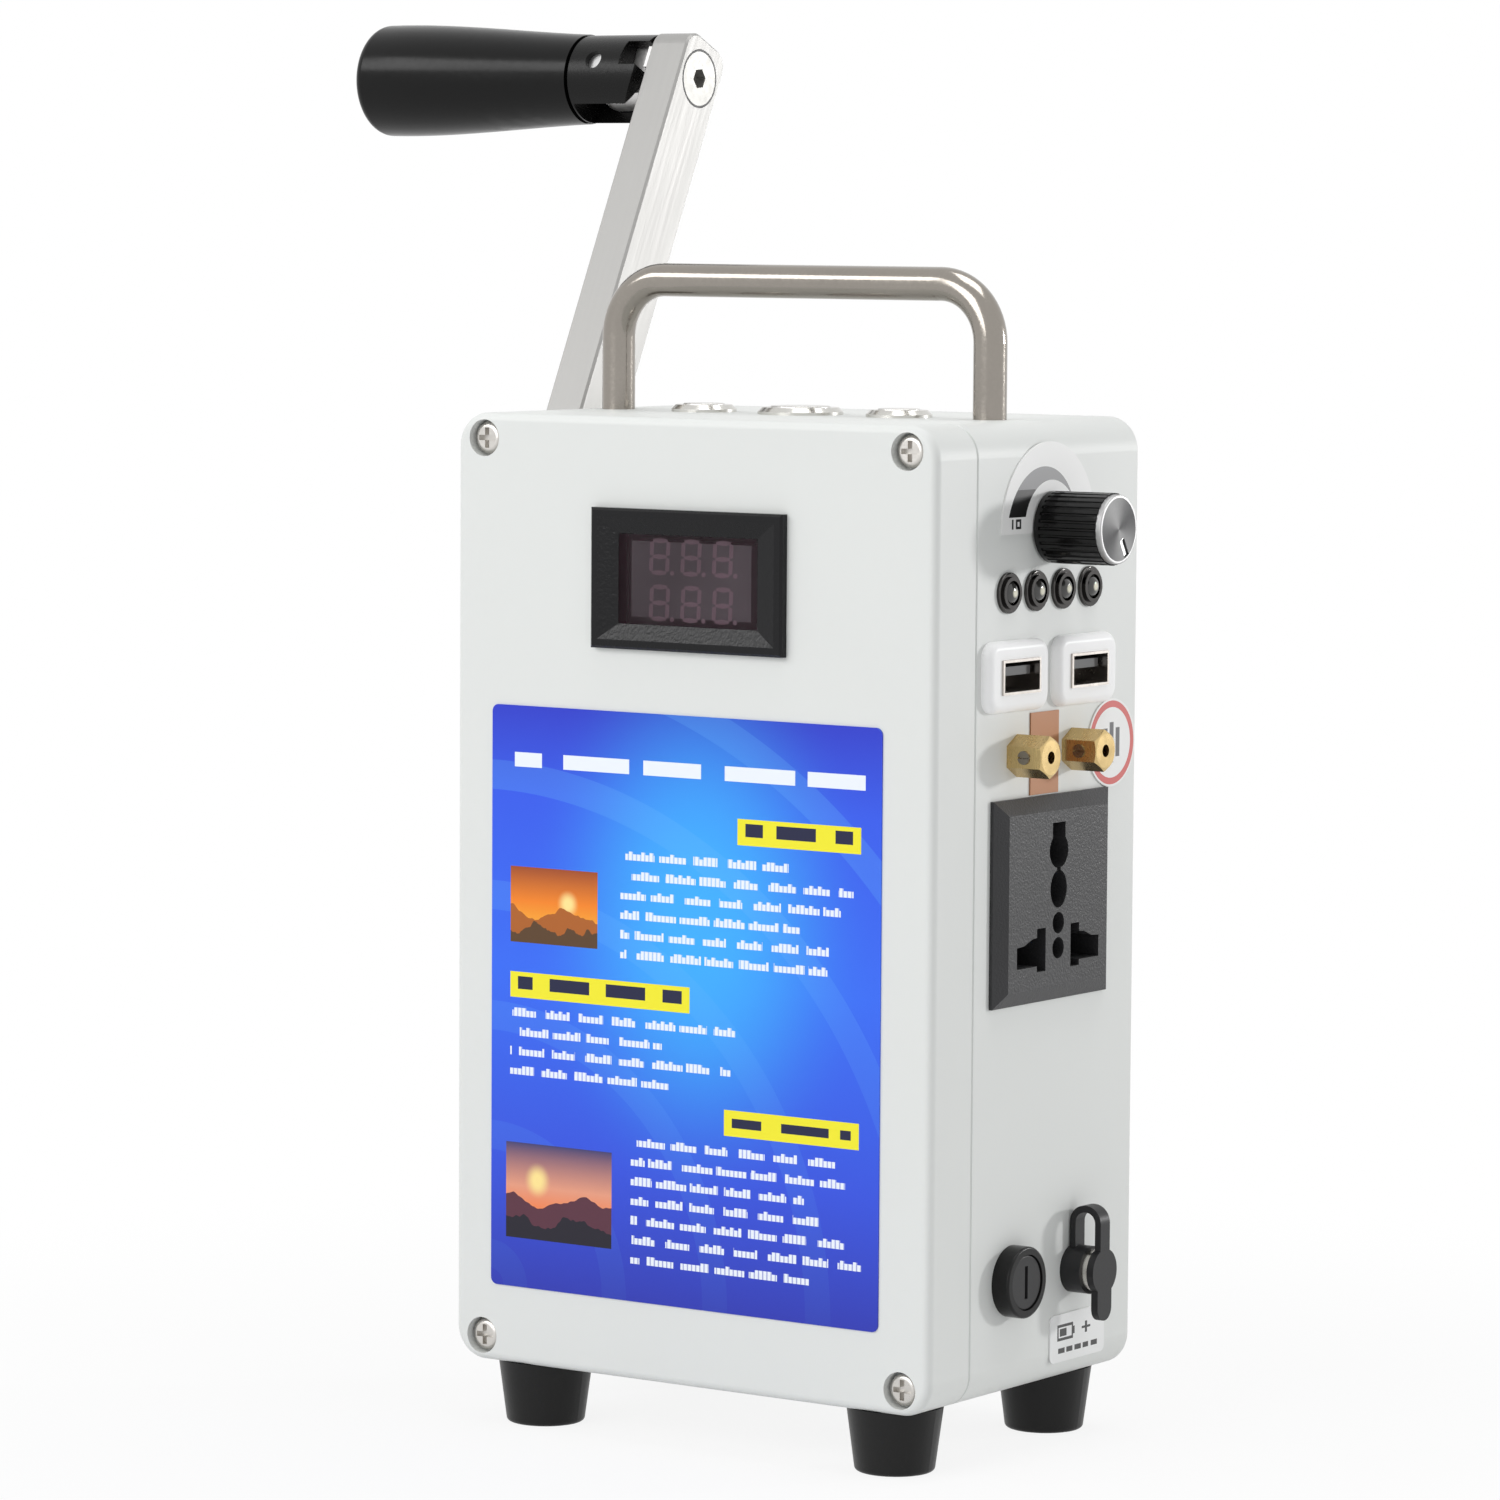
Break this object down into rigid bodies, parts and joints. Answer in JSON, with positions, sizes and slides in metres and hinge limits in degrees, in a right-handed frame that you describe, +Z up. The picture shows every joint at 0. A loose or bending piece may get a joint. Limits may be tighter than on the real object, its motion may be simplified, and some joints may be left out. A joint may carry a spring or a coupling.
{
  "type": "hand crank generator",
  "caption": "Upright box power pack turned by a folding side crank, with a panel meter, carry handle, knob, sockets and terminals on rubber feet.",
  "frame": {"origin": "on the floor under the middle of the box", "axes": "+Z up, -Y out of the front with the meter and label, +X out of the side with the sockets, -X out of the side with the crank"},
  "size_m": [0.2294, 0.1086, 0.2973],
  "materials": {
    "shell_plastic": "fine matt ABS",
    "seal_rubber": "matt",
    "screw_steel": "zinc plated",
    "label_print": "satin printed film",
    "meter_black": "satin",
    "meter_glass": "dark red tinted",
    "digit_block": "matt",
    "stainless": "brushed",
    "button_metal": "satin",
    "nut_steel": "nickel plated",
    "knob_black": "grooved",
    "knob_disc": "turned",
    "pot_metal": "satin",
    "dial_print": "printed film",
    "led_metal": "polished",
    "led_lens": "clear",
    "usb_white": "satin",
    "usb_metal": "nickel",
    "usb_tongue": "matt",
    "terminal_brass": "machined",
    "set_screw_steel": "black oxide",
    "copper": "dull foil",
    "ring_print": "printed film",
    "socket_black": "fine texture",
    "fuse_black": "satin",
    "fuse_glass": "clear",
    "jack_metal": "nickel",
    "cap_rubber": "matt",
    "port_print": "printed film",
    "foot_rubber": "matt",
    "arm_aluminium": "satin anodised",
    "shaft_steel": "ground",
    "bush_bronze": "sintered",
    "case_plastic": "glass filled",
    "gear_steel": "machined",
    "gear_nylon": "natural nylon",
    "can_steel": "zinc plated",
    "rotor_iron": "laminated",
    "ferrule_black": "satin black",
    "grip_black": "smooth",
    "cell_wrap": "shrink film",
    "tray_plastic": "matt",
    "board_green": "solder mask",
    "core_ferrite": "ferrite and copper wire"
  },
  "bodies": {
    "case": {"front_cover": "shell_plastic", "rear_housing": "shell_plastic", "cover_gasket": "seal_rubber", "cover_screws": "screw_steel", "front_label": "label_print", "meter_bezel": "meter_black", "meter_window": "meter_glass", "meter_display": "digit_block", "carry_handle": "stainless", "handle_screws": "screw_steel", "button_barrels": "button_metal", "panel_nuts": "nut_steel", "pot_body": "pot_metal", "dial_sticker": "dial_print", "led_holders": "led_metal", "led_lamps": "led_lens", "usb_bezels": "usb_white", "usb_shells": "usb_metal", "usb_tongues": "usb_tongue", "terminals": "terminal_brass", "terminal_screws": "set_screw_steel", "terminal_strip": "copper", "ring_sticker": "ring_print", "ac_socket": "socket_black", "fuse_holder": "fuse_black", "jack_body": "jack_metal", "cap_strap": "cap_rubber", "port_label": "port_print", "rubber_feet": "foot_rubber", "case_screws": "screw_steel", "shaft_bush": "bush_bronze", "gear_case": "case_plastic", "gear_plate": "case_plastic", "idler_shaft": "shaft_steel", "generator_can": "can_steel", "battery_cells": "cell_wrap", "battery_tray": "tray_plastic", "circuit_boards": "board_green", "transformer": "core_ferrite", "board_screws": "screw_steel"},
    "crank": {"crank_arm": "arm_aluminium", "crank_screw": "screw_steel", "crank_shaft": "shaft_steel", "drive_gear": "gear_steel", "hinge_block": "arm_aluminium", "grip_bolt": "screw_steel", "hinge_pin": "shaft_steel"},
    "ferrule": {"grip_ferrule": "ferrule_black"},
    "grip": {"grip": "grip_black"},
    "idler": {"idler_gear": "gear_nylon"},
    "rotor": {"generator_rotor": "rotor_iron"},
    "knob": {"knob_body": "knob_black", "knob_cap": "knob_disc", "pot_shaft": "shaft_steel"},
    "button_left": {"button_left_cap": "button_metal"},
    "button_middle": {"button_middle_cap": "button_metal"},
    "button_right": {"button_right_cap": "button_metal"},
    "fuse_carrier": {"fuse_link": "fuse_glass"},
    "fuse_head": {"fuse_cap": "fuse_black"},
    "jack_plug": {"jack_cap": "cap_rubber"}
  },
  "joints": [
    {"name": "crank_spin", "type": "hinge", "parent": "case", "child": "crank", "pos_m": [-0.0605, 0, 0.1705], "axis": [1, 0, 0], "continuous": true},
    {"name": "idler_spin", "type": "hinge", "parent": "case", "child": "idler", "pos_m": [-0.048, 0, 0.1405], "axis": [1, 0, 0], "continuous": true},
    {"name": "rotor_spin", "type": "hinge", "parent": "case", "child": "rotor", "pos_m": [-0.024, 0, 0.1195], "axis": [1, 0, 0], "continuous": true},
    {"name": "grip_fold", "type": "hinge", "parent": "crank", "child": "ferrule", "pos_m": [-0.0877, 0.05547, 0.28474], "axis": [0, -0.8996, 0.4368], "range_deg": [0, 90]},
    {"name": "grip_spin", "type": "hinge", "parent": "ferrule", "child": "grip", "pos_m": [-0.12, 0.05547, 0.28474], "axis": [-1, 0, 0], "continuous": true},
    {"name": "knob_turn", "type": "hinge", "parent": "case", "child": "knob", "pos_m": [0.068, 0.004, 0.1919], "axis": [1, 0, 0], "range_deg": [0, 300]},
    {"name": "button_left_press", "type": "slide", "parent": "case", "child": "button_left", "axis": [0, 0, -1], "range_m": [0, 0.0014], "stiffness_N_per_m": 200, "springref_m": -0.004},
    {"name": "button_middle_press", "type": "slide", "parent": "case", "child": "button_middle", "axis": [0, 0, -1], "range_m": [0, 0.0014], "stiffness_N_per_m": 200, "springref_m": -0.004},
    {"name": "button_right_press", "type": "slide", "parent": "case", "child": "button_right", "axis": [0, 0, -1], "range_m": [0, 0.0014], "stiffness_N_per_m": 200, "springref_m": -0.004},
    {"name": "fuse_pull", "type": "slide", "parent": "case", "child": "fuse_carrier", "axis": [1, 0, 0], "range_m": [0, 0.026]},
    {"name": "fuse_turn", "type": "hinge", "parent": "fuse_carrier", "child": "fuse_head", "pos_m": [0.062, -0.00805, 0.0378], "axis": [1, 0, 0], "range_deg": [0, 45]},
    {"name": "jack_cap_pull", "type": "slide", "parent": "case", "child": "jack_plug", "axis": [1, 0, 0], "range_m": [0, 0.004], "deforming": ["cap_strap"]}
  ],
  "couplings": [
    {"joint": "idler_spin", "follows": "crank_spin", "ratio": -4},
    {"joint": "rotor_spin", "follows": "crank_spin", "ratio": 16}
  ]
}
